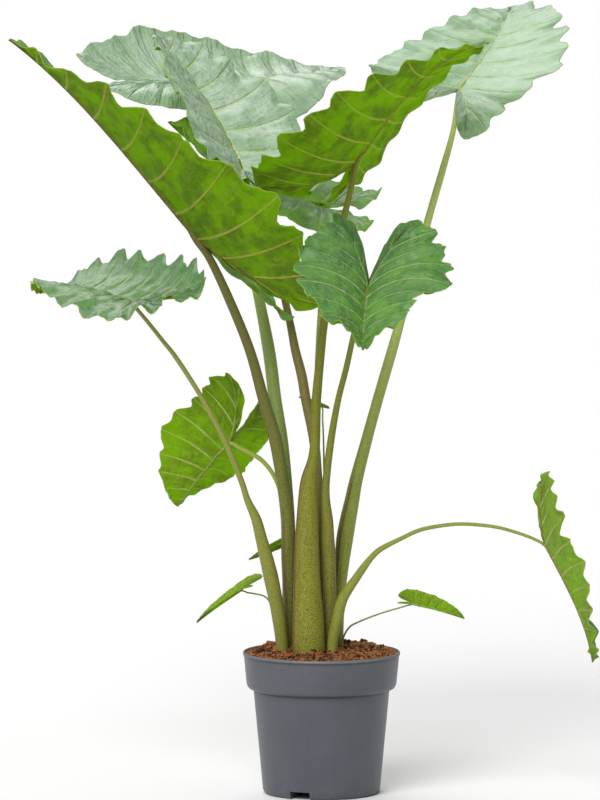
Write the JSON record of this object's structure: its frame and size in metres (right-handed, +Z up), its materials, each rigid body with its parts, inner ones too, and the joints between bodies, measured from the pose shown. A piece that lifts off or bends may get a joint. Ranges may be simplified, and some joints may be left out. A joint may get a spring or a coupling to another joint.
{
  "type": "potted plant",
  "caption": "Potted elephant's ear with large arrow-shaped wavy leaves on tall fleshy stalks, in a tapered round plastic nursery pot filled with soil.",
  "frame": {"origin": "middle of the pot's flat base, on the surface it stands on", "axes": "+Z up along the pot's axis; -Y is the plant's front, the side with the heart-shaped leaf; +X to the right seen from the front"},
  "size_m": [0.9975, 1.0501, 1.3449],
  "materials": {
    "pot": "satin blue-grey moulded plastic, a little dusty",
    "potting_soil": "loose reddish-brown peat and coir crumbs, fully matt; stone stands for soil",
    "rhizome": "rough brown corm skin, matt",
    "leaf_blade": "waxy green leaf, satin, lighter veins, lets light through; leather stands for leaf tissue",
    "leaf_stalk": "smooth olive to pale green stalk with fine dark mottling, satin; leather stands for leaf tissue"
  },
  "bodies": {
    "root": {"pot": "pot", "potting_soil": "potting_soil", "rhizome": "rhizome", "stalk_left_large": "leaf_stalk", "blade_left_large": "leaf_blade", "stalk_back_wide": "leaf_stalk", "blade_back_wide": "leaf_blade", "stalk_centre_upright": "leaf_stalk", "blade_centre_upright": "leaf_blade", "stalk_right_arching": "leaf_stalk", "blade_right_arching": "leaf_blade", "stalk_front_heart": "leaf_stalk", "blade_front_heart": "leaf_blade", "stalk_right_high": "leaf_stalk", "blade_right_high": "leaf_blade", "stalk_back_low": "leaf_stalk", "blade_back_low": "leaf_blade", "stalk_left_small": "leaf_stalk", "blade_left_small": "leaf_blade", "stalk_left_backlit": "leaf_stalk", "blade_left_backlit": "leaf_blade", "stalk_right_drooping": "leaf_stalk", "blade_right_drooping": "leaf_blade", "stalk_right_seedling": "leaf_stalk", "blade_right_seedling": "leaf_blade", "stalk_left_seedling": "leaf_stalk", "blade_left_seedling": "leaf_blade", "stalk_inner_seedling": "leaf_stalk", "blade_inner_seedling": "leaf_blade", "stalk_new_shoot": "leaf_stalk", "blade_new_shoot": "leaf_blade"}
  },
  "joints": []
}
